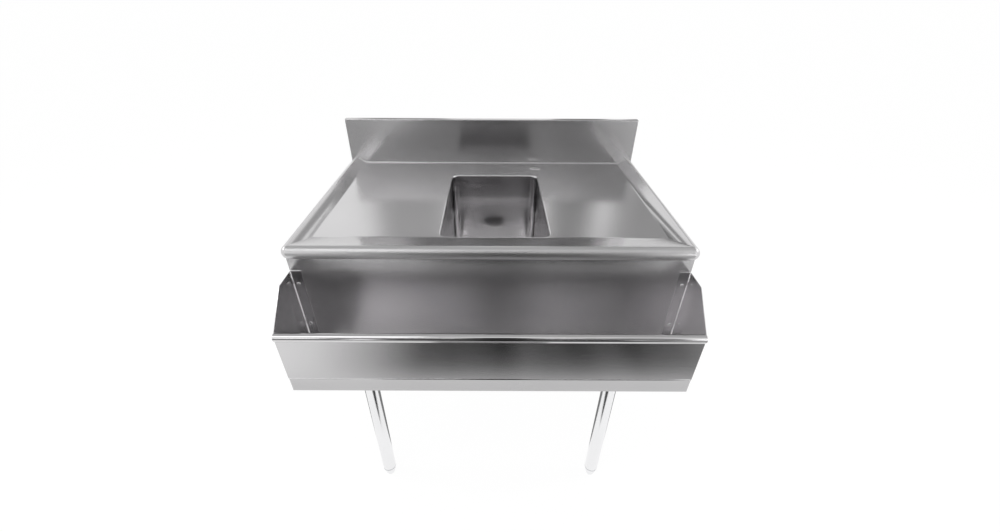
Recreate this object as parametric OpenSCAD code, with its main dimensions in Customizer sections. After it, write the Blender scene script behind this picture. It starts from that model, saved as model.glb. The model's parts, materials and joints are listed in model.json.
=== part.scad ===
// Underbar sink: recessed drainboard with one deep bowl, splash, apron, bottle rail and four adjustable legs.
// Millimetres. X to the right, Y towards the wall, Z up. The origin is on the floor, under the middle of the
// unit's outer box.

/* [Overall] */
// Width over the side rims
body_w = 914; // [860:1:1220]
// Depth from the front edge of the rim to the back of the splash
body_d = 610; // [600:1:720]
// Height of the rim above the floor
rim_h = 914; // [760:1:960]
// Thickness of all the folded sheet
sheet_t = 1.5; // [1:0.1:2]

/* [Drainboard] */
// Radius of the rolled rim
rim_r = 16; // [12:0.5:20]
// Flat lip under the rolled rim, inwards from the roll
rim_lip = 12; // [6:1:16]
// Drop from the rim's crest to the flat drainboard
deck_drop = 16; // [10:1:24]
// Width of the slope behind the front roll
slope_front = 68; // [40:1:70]
// Width of the slope beside each side roll
slope_side = 30; // [20:1:60]

/* [Splash] */
// Height of the splash above the rim
splash_h = 121; // [80:1:200]
// Depth of the splash's top, from its face to its back
splash_return = 19; // [14:1:40]
// Height of the hem that turns down at the back of the top
splash_hem = 12; // [6:1:30]

/* [Bowl] */
// Width of the bowl's opening
bowl_w = 256; // [220:1:320]
// Depth of the bowl below the drainboard
bowl_depth = 254; // [180:1:260]
// Radius of the bowl's upright corners and of the cove round its floor
bowl_r = 19; // [12:1:40]
// Thickness of the bowl's wall
bowl_t = 1.2; // [1:0.1:2]
// Width of the welding lip round the bowl, under the drainboard
bowl_lip = 15; // [8:1:25]
// Distance from the front edge of the rim to the bowl's opening
bowl_front = 88; // [88:1:120]
// Distance from the bowl's opening to the splash's face
bowl_back = 113; // [100:1:200]
// Middle of the bowl, to the right of the unit's middle
bowl_x = 10; // [-60:1:60]
// Thickness of the rubber pad under the bowl's floor
pad_t = 3; // [1:0.5:6]
// Distance from the bowl's outer edge to the pad's edge
pad_inset = 35; // [25:1:40]

/* [Apron and side panels] */
// Distance from the front edge of the rim back to the apron's face
apron_set = 10; // [6:1:20]
// Distance from the side edge of the rim in to the side panel's face
side_set = 8; // [6:1:20]
// Drop from the rim to the lower edge of the apron and the side panels
apron_drop = 298; // [297:1:340]
// Width of the side panels' flanges behind the apron
corner_flange = 22; // [20:1:30]
// Drop from the drainboard to the lower edge of the rear panel
rear_drop = 130; // [60:1:200]
// Width of the rear panel's lower flange
rear_return = 15; // [8:1:16]

/* [Bottle rail] */
// Reach of the rail, from the apron's face to the front panel's face
rail_reach = 140; // [100:1:160]
// Outer radius of the rolled top edge
rail_roll_r = 9.5; // [7:0.5:12]
// How far the bead stands out in front of the rail's panel
rail_roll_out = 5; // [2:0.5:8]
// Gap between the bead and the notches of the end brackets
bead_fit = 0.3; // [0.1:0.1:1]
// Drop from the rim to the middle of the rolled edge
rail_drop = 139; // [120:1:139]
// Height from the rail's bottom pan to the middle of the rolled edge
rail_h = 118; // [90:1:118]
// Height of the pan's front band, below the front panel
rail_band = 41; // [20:1:41]
// Height of the pan's flange, which is turned down on the apron
pan_back = 28; // [24:1:38]
// Drop from the pan to its screws
pan_screw_drop = 16; // [12:1:18]
// Distance between the pan's screws
pan_screw_pitch = 300; // [200:1:380]
// Drop from the rim to the flat top of the end brackets
bracket_drop = 62; // [50:1:70]
// Length of the flat top of the end brackets
bracket_nose = 61; // [40:1:80]
// Width of the end brackets' flange on the apron
bracket_flange = 25; // [22:1:40]
// Drop from the rim to the upper bracket screw
bracket_screw_upper = 97; // [86:1:110]
// Drop from the rim to the lower bracket screw
bracket_screw_lower = 213; // [180:1:215]
// Distance from the bracket's outer face in to its screws
bracket_screw_in = 12; // [10:1:14]

/* [Rail screws] */
// Radius of the screws' shanks
screw_r = 2.4; // [2:0.1:3]
// Radial clearance of a screw in its holes
screw_fit = 0.1; // [0.05:0.05:0.3]
// Radius of the screws' heads
screw_head_r = 4.7; // [4:0.1:6]
// Height of the screws' heads
screw_head_h = 2.8; // [2:0.1:4]
// Radius of the hexagon nuts over their corners
nut_r = 5.5; // [4.5:0.1:6]
// Height of the nuts
nut_h = 4; // [3:0.5:5]
// Length of thread that shows past a nut
screw_tail = 2; // [1:0.5:4]

/* [Faucet hole cover] */
// Radius of the hole in the drainboard
cover_hole_r = 14; // [10:0.5:15]
// Radius of the round cover
cover_r = 17; // [16:0.5:26]
// Height of the cover over the drainboard
cover_h = 2.8; // [1.8:0.1:5]
// Middle of the cover, to the right of the unit's middle
cover_x = 139; // [60:1:230]
// Distance from the splash's face to the middle of the cover
cover_back = 46; // [34:1:46]
// Radius of the cover's stud
cover_stud_r = 3; // [2.5:0.1:4]
// Length of the stud below the drainboard
cover_stud_l = 22; // [18:1:40]
// Length of the bar washer under the drainboard
cover_bar_l = 44; // [36:1:60]
// Width of the bar washer
cover_bar_w = 20; // [14:1:26]
// Thickness of the bar washer
cover_bar_t = 2; // [1:0.5:3]
// Height of the wing nut's barrel
wing_nut_h = 8; // [6:1:12]

/* [Legs] */
// Outer diameter of the leg tube
leg_od = 41.3; // [38:0.1:45]
// Wall of the leg tube
leg_wall = 1.5; // [1:0.1:2]
// Distance from the side edge of the rim to a leg's axis
leg_inset = 115; // [100:1:150]
// Distance from the front edge of the rim to the front legs' axis
leg_front = 50; // [50:1:58]
// Distance from the back of the splash to the rear legs' axis
leg_rear = 60; // [60:1:90]
// Gap between the front legs and the apron's lower flange
leg_gap = 1.35; // [0.35:0.05:10]
// Height of the hat channels under the drainboard
channel_h = 25; // [20:1:40]
// Width of the hat channels' web
channel_w = 60; // [50:1:64]
// Width of each lip of the hat channels
channel_lip = 12; // [8:1:12]
// Gap round the rim's lip, where the channels are notched for it
channel_notch = 1; // [0.3:0.1:3]
// Width of the square plate on top of a leg socket, across the channel
plate_w = 90; // [80:1:110]
// Length of the plate, along the channel
plate_l = 70; // [60:1:76]
// Thickness of the plate
plate_t = 3; // [2:0.5:5]
// Height of a leg socket below its plate
socket_h = 60; // [50:1:80]
// Wall of a leg socket
socket_wall = 2.5; // [2:0.1:4]
// Radial clearance of a leg in its socket
leg_fit = 0.15; // [0.05:0.05:0.4]
// Radius of the set screw through the socket
set_screw_r = 3; // [2.5:0.1:4]
// Drop from the plate to the set screw
set_screw_drop = 32; // [20:1:40]
// How far the set screw stands out of the socket
set_screw_out = 4; // [2:0.5:8]

/* [Feet] */
// Height of a bullet foot below its leg, when screwed right in
foot_h = 38; // [30:1:60]
// Radius of the foot's collar
foot_r = 19; // [16:0.5:20]
// Radius of the flat that stands on the floor
foot_tip_r = 10; // [6:0.5:12]
// Height of the foot's straight collar
foot_collar = 9; // [5:1:14]
// Radius of the foot's stem
stem_r = 8; // [6:0.5:10]
// Radial running clearance of the stem in its plug
stem_fit = 0.05; // [0.02:0.01:0.1]
// How far a foot screws out of its leg
foot_travel = 25; // [10:1:30]
// How far the stem still stands over its plug when the foot is right out
stem_spare = 2.7; // [0:0.1:10]
// Gap between a foot's collar and its plug when screwed right in
foot_gap = 0.3; // [0.3:0.1:1]
// Height of the threaded plug inside the leg
plug_h = 32; // [20:1:40]
// Thickness of the plug's flange under the leg
plug_flange = 2; // [1:0.5:4]
// Radial clearance of the plug in the leg
plug_fit = 0.15; // [0.05:0.05:0.3]

/* [Drain] */
// Radius of the drain cup's inside
drain_r = 41.5; // [38:0.5:44]
// Wall of the drain cup
drain_wall = 2.5; // [2:0.1:3]
// Radial clearance of the cup in the bowl's hole and its rings
drain_fit = 0.3; // [0.1:0.1:0.8]
// Radius of the flange on the bowl's floor
drain_flange_r = 55; // [50:0.5:58]
// Thickness of that flange
drain_flange_t = 1.6; // [1:0.1:3]
// Depth of the drain cup below the bowl's floor
drain_depth = 50; // [46:1:70]
// Radius of the outlet hole
outlet_r = 19; // [16:0.5:20]
// Outer radius of the outlet's thread
outlet_thread_r = 23.8; // [23:0.1:26]
// Length of the outlet's thread
outlet_l = 20; // [14:1:30]
// Outer radius of the gasket under the bowl
gasket_r = 60; // [56:0.5:62]
// Thickness of the gasket
gasket_t = 3; // [2:0.5:5]
// Thickness of the fibre washer under the gasket
washer_t = 1; // [0.5:0.5:2]
// Outer radius of the lock nut
locknut_r = 54; // [50:0.5:56]
// Height of the lock nut
locknut_h = 10; // [8:1:14]
// How far the lock nut's lugs stand out
locknut_lug = 6; // [3:0.5:7]

/* [Tailpiece] */
// Outer radius of the tailpiece
tail_r = 19.05; // [16:0.05:20]
// Wall of the tailpiece
tail_wall = 1.2; // [0.8:0.1:2]
// Length of the tailpiece below its flange
tail_l = 110; // [90:1:160]
// Radius of the tailpiece's flange
tail_flange_r = 22.6; // [21.5:0.1:22.8]
// Thickness of the tailpiece's flange and of its washer
tail_flange_t = 2; // [1:0.5:3]
// Radial clearance of the coupling nut round the outlet's thread
coupling_fit = 0.2; // [0.1:0.05:0.4]
// Radial clearance of the coupling nut's lip round the tailpiece
coupling_lip_fit = 0.8; // [0.7:0.05:1.2]
// Radius of the coupling nut over its corners
coupling_r = 31; // [29:0.5:36]
// How far the coupling nut covers the outlet's thread
coupling_grip = 14; // [8:1:14]
// Thickness of the coupling nut's lower lip
coupling_lip = 4; // [2:0.5:6]

/* [Strainer] */
// Radius of the strainer basket
basket_r = 37; // [30:0.5:37]
// Height of the basket
basket_h = 34; // [20:1:36]
// Wall of the basket
basket_t = 1; // [0.8:0.1:2]
// Radius of the holes in the basket
basket_hole_r = 2.5; // [1.5:0.1:3]
// Number of holes in the ring in the basket's floor
floor_holes = 12; // [6:1:16]
// Number of holes in each row round the basket's wall
wall_holes = 16; // [8:1:20]
// Radius of the post's shank
post_r = 4; // [3:0.5:6]
// Radius of the post's knob
knob_r = 9; // [8:0.5:14]
// Height of the post over the basket's floor
post_h = 36; // [20:1:36]
// Radius of the rubber seal under the basket
seal_r = 25; // [22:0.5:27]
// Thickness of the seal
seal_t = 4; // [2:0.5:6]
// Gap between the seal and the drain cup's floor
seal_gap = 0.3; // [0.3:0.1:1]
// Radial clearance of the post in the basket
post_fit = 0.1; // [0.05:0.05:0.3]

/* [Hidden] */
$fn = 48;

// Left and right, as signs along X
left = -1;
right = 1;

// Upright planes across the unit, from the wall forwards
total_d = body_d - apron_set + rail_reach + rail_roll_out;
y_back = total_d / 2;
y_face = y_back - splash_return;
y_rim = y_back - body_d;
y_apron = y_rim + apron_set;
y_rail = y_apron - rail_reach;
y_bead = y_rail - rail_roll_out + rail_roll_r;
y_crest = y_rim + rim_r;
y_flat = y_crest + slope_front;

// Upright planes along the unit, on its right side
x_side = body_w / 2;
x_crest = x_side - rim_r;
x_flat = x_crest - slope_side;
x_panel = x_side - side_set;

// Levels
z_rim = rim_h;
z_roll = z_rim - rim_r;
z_deck = z_rim - deck_drop;
z_top = z_rim + splash_h;
z_hem = z_rim - apron_drop;
z_skirt = under_roll(side_set);
z_bowl = z_deck - bowl_depth;
z_bead = z_rim - rail_drop;
z_pan = z_bead - rail_h;
z_band = z_pan - rail_band;
z_channel = z_deck - sheet_t - channel_h;
z_socket = z_channel - plate_t;
z_leg = foot_h + plug_flange;

// Length of the bowl's opening, and the places of the bowl, the legs and the cover
bowl_l = body_d - splash_return - bowl_front - bowl_back;
y_bowl = y_rim + bowl_front + bowl_l / 2;
leg_x = x_side - leg_inset;
y_leg_front = y_rim + leg_front;
y_leg_rear = y_back - leg_rear;
y_cover = y_face - cover_back;

// Radii that follow from the fits
leg_r = leg_od / 2;
socket_r = leg_r + leg_fit;
hole_r = screw_r + screw_fit;
cup_r = drain_r + drain_wall;
ring_r = cup_r + drain_fit;

// Width of the flanges folded in along the lower edges of the apron and the side panels
bottom_return = leg_front - leg_r - leg_gap - apron_set;

// Length of a foot's stem over its collar
stem_l = foot_gap + plug_flange + plug_h + foot_travel + stem_spare;

// Levels of the drain, below the bowl's floor
z_cup = z_bowl - drain_depth;
z_cup_floor = z_cup + drain_wall;
z_outlet = z_cup - outlet_l;
z_gasket = z_bowl - bowl_t - gasket_t;
z_washer = z_gasket - washer_t;
z_locknut = z_washer - locknut_h;
z_tail_washer = z_outlet - tail_flange_t;
z_tail_flange = z_tail_washer - tail_flange_t;
z_seal = z_cup_floor + seal_gap;
z_basket = z_seal + seal_t;

STEEL = [0.62, 0.62, 0.63];
BRIGHT = [0.75, 0.75, 0.76];
DARK = [0.45, 0.45, 0.46];
RUBBER = [0.12, 0.12, 0.12];
FIBRE = [0.45, 0.25, 0.15];

// Level of the rolled rim's underside over a sheet set back by set from the rim's edge
function under_roll(set) = z_roll - sqrt(rim_r * rim_r - pow(max(0, rim_r - set - sheet_t), 2));

// Screws on an end bracket and on the pan: [x, z, number of sheets that they hold]
bracket_screws = [
    for (side = [left, right])
        for (drop = [bracket_screw_upper, bracket_screw_lower])
            [side * (x_panel - bracket_screw_in), z_rim - drop, 3]
];
pan_screws = [for (i = [-1, 0, 1]) [i * pan_screw_pitch, z_pan - pan_screw_drop, 2]];

// ---- Helpers ----

// A box from its lowest to its highest corner
module block(low, high) {
    translate(low) cube(high - low);
}

// An outline in Y and Z, drawn out along X from x0 to x1
module along_x(x0, x1) {
    translate([x0, 0, 0]) rotate([90, 0, 90]) linear_extrude(x1 - x0) children();
}

// An outline in X and Z, drawn out along Y from y0 to y1
module along_y(y0, y1) {
    translate([0, y1, 0]) rotate([90, 0, 0]) linear_extrude(y1 - y0) children();
}

// A flat rectangle with round corners, about its middle
module round_rect(w, l, r) {
    square([w - 2 * r, l], center = true);
    square([w, l - 2 * r], center = true);
    for (sx = [left, right], sy = [-1, 1]) translate([sx * (w / 2 - r), sy * (l / 2 - r)]) circle(r);
}

// A tube wall between two radii and two levels
module ring(r_in, r_out, z0, z1) {
    translate([0, 0, z0]) difference() {
        cylinder(r = r_out, h = z1 - z0);
        translate([0, 0, -1]) cylinder(r = r_in, h = z1 - z0 + 2);
    }
}

// The holes for a list of screws, through everything between two planes
module screw_holes(places, y0, y1) {
    for (p = places) translate([p[0], y1, p[1]]) rotate([90, 0, 0]) cylinder(r = hole_r, h = y1 - y0);
}

// A piece drawn for the right side, on the side asked for
module on_side(side) {
    if (side == right) children();
    else mirror([1, 0, 0]) children();
}

// ---- Drainboard ----

// Section of the rolled rim about the roll's middle, with its outside towards +X
module roll_section() {
    intersection() {
        difference() {
            circle(rim_r);
            circle(rim_r - sheet_t);
        }
        translate([0, -rim_r]) square([rim_r, 2 * rim_r]);
    }
}

// The flat lip that runs in from the bottom of the roll
module lip_section() {
    translate([-rim_lip, -rim_r]) square([rim_lip, sheet_t]);
}

module front_rim() {
    along_x(-x_crest, x_crest) translate([y_crest, z_roll]) mirror([1, 0]) {
        roll_section();
        lip_section();
    }
}

module side_rim() {
    along_y(y_crest, y_face) translate([x_crest, z_roll]) {
        roll_section();
        lip_section();
    }
    translate([x_crest, y_crest, z_roll]) rotate([0, 0, -90]) rotate_extrude(angle = 90) roll_section();
}

// The slope behind the front roll, mitred into the side slopes
module front_slope() {
    intersection() {
        along_x(-x_crest, x_crest) polygon([
            [y_crest, z_rim], [y_flat, z_deck], [y_flat, z_deck - sheet_t], [y_crest, z_rim - sheet_t]
        ]);
        translate([0, 0, z_deck - rim_r]) linear_extrude(deck_drop + 2 * rim_r) polygon([
            [-x_crest, y_crest], [x_crest, y_crest], [x_flat, y_flat], [-x_flat, y_flat]
        ]);
    }
}

module side_slope() {
    intersection() {
        along_y(y_crest, y_face) polygon([
            [x_crest, z_rim], [x_flat, z_deck], [x_flat, z_deck - sheet_t], [x_crest, z_rim - sheet_t]
        ]);
        translate([0, 0, z_deck - rim_r]) linear_extrude(deck_drop + 2 * rim_r) polygon([
            [x_crest, y_crest], [x_crest, y_face], [x_flat, y_face], [x_flat, y_flat]
        ]);
    }
}

module deck_flat() {
    translate([0, 0, z_deck - sheet_t]) linear_extrude(sheet_t) difference() {
        translate([-x_flat, y_flat]) square([2 * x_flat, y_face - y_flat]);
        translate([bowl_x, y_bowl]) round_rect(bowl_w, bowl_l, bowl_r);
        translate([cover_x, y_cover]) circle(cover_hole_r);
    }
}

module deck_top() {
    color(STEEL) union() {
        front_rim();
        front_slope();
        for (side = [left, right]) on_side(side) {
            side_rim();
            side_slope();
        }
        deck_flat();
    }
}

// ---- Splash ----

module backsplash() {
    color(STEEL) along_x(-x_side, x_side) union() {
        translate([y_face, z_skirt]) square([sheet_t, z_top - z_skirt]);
        translate([y_face, z_top - sheet_t]) square([splash_return, sheet_t]);
        translate([y_back - sheet_t, z_top - sheet_t - splash_hem]) square([sheet_t, sheet_t + splash_hem]);
    }
}

module splash_cap(side) {
    color(STEEL) on_side(side) block(
        [x_side - sheet_t, y_face + sheet_t, z_skirt],
        [x_side, y_back - sheet_t, z_top - sheet_t]
    );
}

// ---- Bowl ----

// A block with round upright corners and a coved floor, standing on z = 0
module tub(w, l, h, r) {
    translate([0, 0, r]) linear_extrude(h - r) round_rect(w, l, r);
    translate([0, 0, r / 2]) cube([w - 2 * r, l - 2 * r, r], center = true);
    for (sx = [left, right])
        translate([sx * (w / 2 - r), 0, r]) rotate([90, 0, 0]) cylinder(r = r, h = l - 2 * r, center = true);
    for (sy = [-1, 1])
        translate([0, sy * (l / 2 - r), r]) rotate([0, 90, 0]) cylinder(r = r, h = w - 2 * r, center = true);
    for (sx = [left, right], sy = [-1, 1]) translate([sx * (w / 2 - r), sy * (l / 2 - r), r]) sphere(r);
}

module sink_bowl() {
    lip_z = z_deck - sheet_t - bowl_t;
    color(STEEL) difference() {
        union() {
            translate([bowl_x, y_bowl, z_bowl - bowl_t])
                tub(bowl_w + 2 * bowl_t, bowl_l + 2 * bowl_t, bowl_depth - sheet_t + bowl_t, bowl_r + bowl_t);
            translate([bowl_x, y_bowl, lip_z])
                linear_extrude(bowl_t) round_rect(bowl_w + 2 * bowl_lip, bowl_l + 2 * bowl_lip, bowl_r + bowl_lip);
        }
        translate([bowl_x, y_bowl, z_bowl]) tub(bowl_w, bowl_l, bowl_depth + sheet_t, bowl_r);
        translate([bowl_x, y_bowl, z_bowl - 2 * bowl_t]) cylinder(r = ring_r, h = 4 * bowl_t);
    }
}

module bowl_sound_pad() {
    color(RUBBER) translate([bowl_x, y_bowl, z_bowl - bowl_t - pad_t]) linear_extrude(pad_t) difference() {
        square([bowl_w - 2 * pad_inset, bowl_l - 2 * pad_inset], center = true);
        circle(gasket_r + 2 * locknut_lug);
    }
}

// ---- Apron and panels ----

module front_apron() {
    color(STEEL) difference() {
        union() {
            block([-x_panel, y_apron, z_hem], [x_panel, y_apron + sheet_t, under_roll(apron_set)]);
            block(
                [-x_panel + sheet_t, y_apron, z_hem],
                [x_panel - sheet_t, y_apron + bottom_return, z_hem + sheet_t]
            );
        }
        screw_holes(concat(bracket_screws, pan_screws), y_apron - 1, y_apron + 2 * sheet_t);
    }
}

module side_panel(side) {
    y_start = y_apron + sheet_t;
    y_end = y_face + 2 * sheet_t;
    color(STEEL) difference() {
        on_side(side) union() {
            block([x_panel - sheet_t, y_start, z_hem], [x_panel, y_end, under_roll(side_set)]);
            block([x_panel - corner_flange, y_start, z_hem + sheet_t], [x_panel, y_start + sheet_t, z_roll - rim_r]);
            block(
                [x_panel - bottom_return, y_apron + bottom_return + sheet_t, z_hem],
                [x_panel, y_end, z_hem + sheet_t]
            );
        }
        screw_holes(bracket_screws, y_apron, y_start + 2 * sheet_t);
    }
}

module rear_panel() {
    y_start = y_face + sheet_t;
    color(STEEL) union() {
        block(
            [-x_panel + sheet_t, y_start, z_deck - rear_drop],
            [x_panel - sheet_t, y_start + sheet_t, z_deck]
        );
        block(
            [-x_panel + sheet_t, y_start + sheet_t - rear_return, z_deck - rear_drop],
            [x_panel - sheet_t, y_start + sheet_t, z_deck - rear_drop + sheet_t]
        );
    }
}

// A hat channel under the drainboard, from the apron to the splash, notched round the front rim's lip
module deck_channel(side) {
    z_web = z_deck - sheet_t;
    half = channel_w / 2;
    color(STEEL) on_side(side) difference() {
        along_y(y_apron + sheet_t, y_face) translate([leg_x, 0]) union() {
            translate([-half, z_web - sheet_t]) square([channel_w, sheet_t]);
            for (s = [0, 1]) mirror([s, 0]) {
                translate([half - sheet_t, z_channel]) square([sheet_t, channel_h]);
                translate([half - sheet_t, z_channel]) square([channel_lip + sheet_t, sheet_t]);
            }
        }
        block(
            [leg_x - channel_w, y_apron, z_roll - rim_r - channel_notch],
            [leg_x + channel_w, y_crest + rim_lip + channel_notch, z_rim]
        );
    }
}

// ---- Bottle rail ----

// Front panel, whose top edge swells out and rolls back over into an open bead
module rail_front() {
    neck = y_rail - y_bead;
    z_neck = z_bead - sqrt(pow(rail_roll_r, 2) - pow(neck, 2)) + sheet_t / 2;
    color(BRIGHT) along_x(-x_panel, x_panel) union() {
        translate([y_rail, z_pan]) square([sheet_t, z_neck - z_pan]);
        translate([y_bead, z_bead]) difference() {
            circle(rail_roll_r);
            circle(rail_roll_r - sheet_t);
            translate([neck + sheet_t, -2 * rail_roll_r])
                square([rail_roll_r / 2 - neck - sheet_t, 2 * rail_roll_r]);
        }
    }
}

module rail_pan() {
    inner = x_panel - sheet_t;
    y_start = y_rail + sheet_t;
    color(STEEL) difference() {
        union() {
            block([-inner, y_start, z_pan], [inner, y_apron, z_pan + sheet_t]);
            block([-inner, y_start, z_band], [inner, y_start + sheet_t, z_pan + sheet_t]);
            block([-inner, y_apron - sheet_t, z_pan - pan_back], [inner, y_apron, z_pan + sheet_t]);
        }
        screw_holes(pan_screws, y_apron - 2 * sheet_t, y_apron + 1);
    }
}

// End bracket: a plate that closes the end of the rail, notched round the bead, and a flange on the apron
module rail_end(side) {
    z_flat = z_rim - bracket_drop;
    y_start = y_rail + sheet_t;
    color(STEEL) difference() {
        on_side(side) union() {
            along_x(x_panel - sheet_t, x_panel) difference() {
                polygon([
                    [y_apron, z_flat], [y_apron - bracket_nose, z_flat], [y_bead, z_bead + rail_roll_r],
                    [y_start, z_bead], [y_start, z_band], [y_apron, z_band]
                ]);
                translate([y_bead, z_bead]) circle(rail_roll_r + bead_fit);
            }
            block(
                [x_panel - bracket_flange, y_apron - sheet_t, z_pan + sheet_t],
                [x_panel, y_apron, z_flat]
            );
        }
        screw_holes(bracket_screws, y_apron - 2 * sheet_t, y_apron + 1);
    }
}

// A pan head screw from the front, p = [x, z, sheets held]
module rail_screw(p) {
    grip = p[2] * sheet_t + nut_h + screw_tail;
    translate([p[0], y_apron - sheet_t, p[1]]) rotate([-90, 0, 0]) {
        cylinder(r = screw_r, h = grip);
        intersection() {
            translate([0, 0, -screw_head_h]) cylinder(r = screw_head_r, h = screw_head_h);
            translate([0, 0, screw_head_r]) sphere(screw_head_r + screw_head_h);
        }
    }
}

module rail_screws() {
    color(BRIGHT) for (p = concat(bracket_screws, pan_screws)) rail_screw(p);
}

module rail_nuts() {
    color(DARK) for (p = concat(bracket_screws, pan_screws))
        translate([p[0], y_apron - sheet_t + p[2] * sheet_t, p[1]]) rotate([-90, 0, 0]) difference() {
            cylinder(r = nut_r, h = nut_h, $fn = 6);
            translate([0, 0, -1]) cylinder(r = hole_r, h = nut_h + 2);
        }
}

// ---- Faucet hole cover ----

// A low crowned disc with a stud
module faucet_hole_cover() {
    edge = cover_h / 3;
    color(BRIGHT) translate([cover_x, y_cover, z_deck]) {
        rotate_extrude() polygon([
            [0, 0], [cover_r, 0], [cover_r, edge], [cover_r - 2 * edge, 2 * edge],
            [cover_r / 2, cover_h], [0, cover_h]
        ]);
        translate([0, 0, -cover_stud_l]) cylinder(r = cover_stud_r, h = cover_stud_l);
    }
}

module faucet_hole_washer() {
    z_low = z_deck - sheet_t - cover_bar_t;
    color(DARK) translate([cover_x, y_cover, z_low]) linear_extrude(cover_bar_t) difference() {
        square([cover_bar_l, cover_bar_w], center = true);
        circle(cover_stud_r + screw_fit);
    }
}

module faucet_hole_nut() {
    barrel_r = 2 * cover_stud_r;
    wing_l = 2 * barrel_r;
    color(DARK) translate([cover_x, y_cover, z_deck - sheet_t - cover_bar_t - wing_nut_h]) difference() {
        union() {
            cylinder(r = barrel_r, h = wing_nut_h);
            translate([-wing_l, -sheet_t / 2, 0]) cube([2 * wing_l, sheet_t, wing_nut_h]);
        }
        translate([0, 0, -1]) cylinder(r = cover_stud_r + screw_fit, h = wing_nut_h + 2);
    }
}

// ---- Legs ----

module leg_socket(side, y) {
    color(STEEL) on_side(side) translate([leg_x, y, 0]) difference() {
        union() {
            block([-plate_w / 2, -plate_l / 2, z_socket], [plate_w / 2, plate_l / 2, z_channel]);
            ring(socket_r, socket_r + socket_wall, z_socket - socket_h, z_socket);
        }
        translate([0, 0, z_socket - set_screw_drop]) rotate([0, -90, 0])
            cylinder(r = set_screw_r + screw_fit, h = 2 * socket_r);
    }
}

module leg_set_screws() {
    length = leg_fit + socket_wall + set_screw_out;
    color(DARK) for (side = [left, right], y = [y_leg_front, y_leg_rear]) on_side(side)
        translate([leg_x - leg_r, y, z_socket - set_screw_drop]) rotate([0, -90, 0])
            cylinder(r = set_screw_r, h = length);
}

module leg(side, y) {
    color(BRIGHT) on_side(side) translate([leg_x, y, 0]) ring(leg_r - leg_wall, leg_r, z_leg, z_socket);
}

module foot_plug(side, y) {
    color(DARK) on_side(side) translate([leg_x, y, 0]) {
        ring(stem_r + stem_fit, leg_r - leg_wall - plug_fit, z_leg, z_leg + plug_h);
        ring(stem_r + stem_fit, leg_r, foot_h, z_leg);
    }
}

// A bullet foot: a straight collar, a taper and a rounded tip with a small flat
module foot(side, y) {
    z_collar = foot_h - foot_gap;
    z_taper = z_collar - foot_collar;
    tip = (foot_r - foot_tip_r) / 3;
    color(BRIGHT) on_side(side) translate([leg_x, y, 0]) rotate_extrude() polygon([
        [0, 0], [foot_tip_r, 0], [foot_tip_r + tip, tip], [foot_tip_r + 2 * tip, 3 * tip],
        [foot_r, z_taper], [foot_r, z_collar], [stem_r, z_collar], [stem_r, z_collar + stem_l], [0, z_collar + stem_l]
    ]);
}

// ---- Drain ----

module drain_body() {
    color(BRIGHT) translate([bowl_x, y_bowl, 0]) rotate_extrude() polygon([
        [outlet_r, z_outlet], [outlet_thread_r, z_outlet], [outlet_thread_r, z_cup], [cup_r, z_cup],
        [cup_r, z_bowl], [drain_flange_r, z_bowl], [drain_flange_r, z_bowl + drain_flange_t / 2],
        [drain_flange_r - 2 * drain_flange_t, z_bowl + drain_flange_t], [drain_r, z_bowl + drain_flange_t],
        [drain_r, z_cup_floor], [outlet_r, z_cup_floor]
    ]);
}

module drain_gasket() {
    color(RUBBER) translate([bowl_x, y_bowl, 0]) ring(ring_r, gasket_r, z_gasket, z_bowl - bowl_t);
}

module drain_washer() {
    color(FIBRE) translate([bowl_x, y_bowl, 0]) ring(ring_r, gasket_r, z_washer, z_gasket);
}

module drain_locknut() {
    color(DARK) translate([bowl_x, y_bowl, 0]) difference() {
        union() {
            ring(ring_r, locknut_r, z_locknut, z_washer);
            for (a = [0, 90, 180, 270]) rotate([0, 0, a])
                block([ring_r + 1, -locknut_lug, z_locknut], [locknut_r + locknut_lug, locknut_lug, z_washer]);
        }
        translate([0, 0, z_locknut - 1]) cylinder(r = ring_r, h = locknut_h + 2);
    }
}

module tailpiece() {
    color(BRIGHT) translate([bowl_x, y_bowl, 0]) rotate_extrude() polygon([
        [tail_r - tail_wall, z_tail_flange - tail_l], [tail_r, z_tail_flange - tail_l],
        [tail_r, z_tail_flange], [tail_flange_r, z_tail_flange],
        [tail_flange_r, z_tail_washer], [tail_r - tail_wall, z_tail_washer]
    ]);
}

module tailpiece_washer() {
    color(FIBRE) translate([bowl_x, y_bowl, 0]) ring(outlet_r, tail_flange_r, z_tail_washer, z_outlet);
}

// Hexagon coupling nut that pulls the tailpiece's flange up to the outlet
module tailpiece_nut() {
    z_low = z_tail_flange - coupling_lip;
    color(BRIGHT) translate([bowl_x, y_bowl, 0]) difference() {
        translate([0, 0, z_low]) cylinder(r = coupling_r, h = z_outlet + coupling_grip - z_low, $fn = 6);
        translate([0, 0, z_low - 1]) cylinder(r = tail_r + coupling_lip_fit, h = coupling_lip + 2);
        translate([0, 0, z_tail_flange]) cylinder(r = outlet_thread_r + coupling_fit, h = z_outlet + coupling_grip);
    }
}

// ---- Strainer ----

module strainer_basket() {
    floor_ring_r = (basket_r + seal_r) / 2;
    color(BRIGHT) translate([bowl_x, y_bowl, z_basket]) difference() {
        cylinder(r = basket_r, h = basket_h);
        translate([0, 0, basket_t]) cylinder(r = basket_r - basket_t, h = basket_h);
        translate([0, 0, -1]) cylinder(r = post_r + post_fit, h = basket_t + 2);
        for (i = [0:floor_holes - 1]) rotate([0, 0, i * 360 / floor_holes])
            translate([floor_ring_r, 0, -1]) cylinder(r = basket_hole_r, h = basket_t + 2);
        for (i = [0:wall_holes - 1], row = [1, 2]) rotate([0, 0, (i + row / 2) * 360 / wall_holes])
            translate([basket_r - 2 * basket_t, 0, row * basket_h / 3]) rotate([0, 90, 0])
                cylinder(r = basket_hole_r, h = 3 * basket_t);
    }
}

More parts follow.
